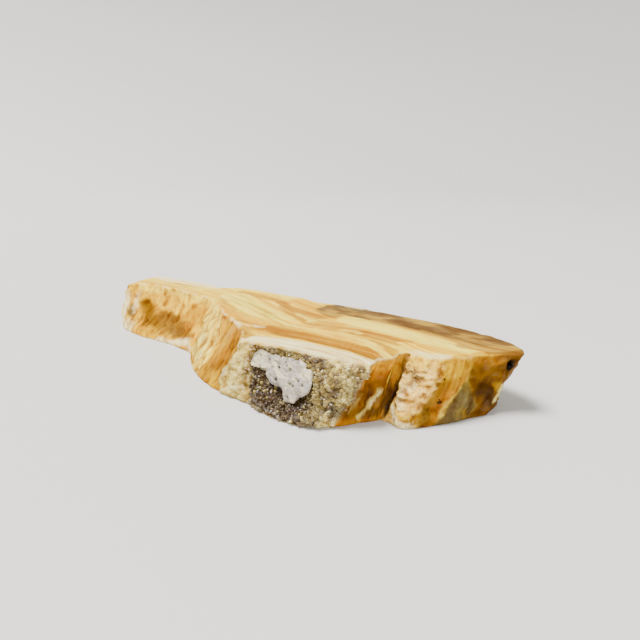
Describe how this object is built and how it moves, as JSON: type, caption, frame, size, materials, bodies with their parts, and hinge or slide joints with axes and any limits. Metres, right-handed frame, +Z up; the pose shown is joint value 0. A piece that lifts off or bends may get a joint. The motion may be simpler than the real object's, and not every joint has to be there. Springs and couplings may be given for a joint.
{
  "type": "rhodochrosite slice",
  "caption": "Thick sawn slab of banded amber and cream stone with a polished top, a broken rim and a crystal-lined pocket with grey chalcedony in its front wall.",
  "frame": {"origin": "under the middle of the slab's bounding box, on the surface that the sawn underside lies on", "axes": "+X along the slab's length from the thin left arm to the right tip, +Y from the crystal pocket's wall toward the rear, +Z up through the polished top"},
  "size_m": [0.1454, 0.054, 0.013],
  "materials": {
    "banded_stone": "sawn and polished top, glassy to sugary broken rim",
    "brown_crystals": "sparkling sugary crystals",
    "grey_chalcedony": "waxy and pitted"
  },
  "bodies": {
    "root": {"banded_slab": "banded_stone", "druse_lining": "brown_crystals", "chalcedony_crust": "grey_chalcedony"}
  },
  "joints": []
}
